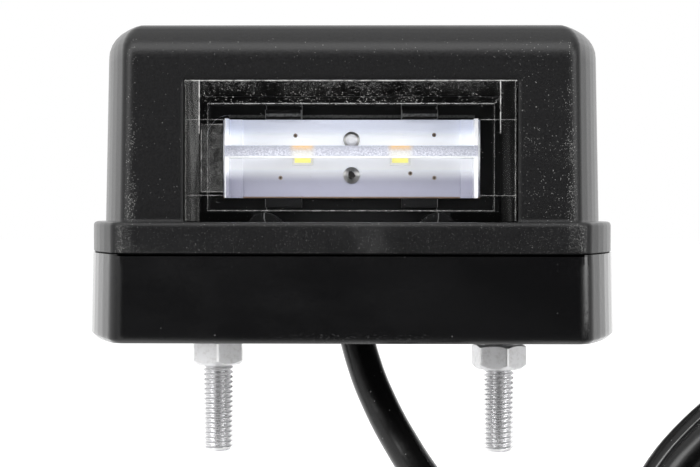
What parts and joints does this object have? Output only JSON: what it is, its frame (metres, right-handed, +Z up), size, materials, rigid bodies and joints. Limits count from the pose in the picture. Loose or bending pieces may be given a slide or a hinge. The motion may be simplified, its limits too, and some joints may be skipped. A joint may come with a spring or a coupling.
{
  "type": "number plate lamp",
  "caption": "Number plate lamp with a black bow-ended housing, a flush clear window over a light board, threaded mounting studs and a round cable from the underside.",
  "frame": {"origin": "middle of the mounting face under the base", "axes": "+X along the lamp to the right of a viewer who faces the window, +Y from the window to the back, +Z up from the mounting face to the hood"},
  "size_m": [0.1515, 0.0801, 0.1179],
  "materials": {
    "cover_plastic": "satin, fine grain",
    "base_plastic": "semi-gloss",
    "lens_clear": "polished, transparent",
    "carrier_plastic": "satin",
    "board_white": "white solder mask",
    "bar_frosted": "frosted",
    "diode_package": "white package with yellow phosphor",
    "solder_tin": "bright",
    "wire_red": "smooth",
    "wire_black": "smooth",
    "component_black": "moulded",
    "zinc_steel": "bright zinc plate",
    "grommet_rubber": "matt",
    "cable_jacket": "satin",
    "tie_nylon": "satin",
    "core_brown": "smooth, with a tinned end",
    "core_blue": "smooth, with a tinned end"
  },
  "bodies": {
    "root": {"base_housing": "base_plastic", "cover": "cover_plastic", "lens": "lens_clear", "board_frame": "carrier_plastic", "light_board": "board_white", "diffuser_bar": "bar_frosted", "led_left": "diode_package", "led_right": "diode_package", "solder_upper": "solder_tin", "solder_lower": "solder_tin", "wire_upper": "wire_red", "wire_lower": "wire_black", "resistor_left": "component_black", "resistor_right": "component_black", "diode": "component_black", "stud_left": "zinc_steel", "stud_right": "zinc_steel", "nut_left": "zinc_steel", "nut_right": "zinc_steel", "cable_grommet": "grommet_rubber", "cable": "cable_jacket", "cable_coil": "cable_jacket", "cable_tail": "cable_jacket", "cable_tie": "tie_nylon", "core_upper": "core_brown", "core_lower": "core_blue"}
  },
  "joints": []
}
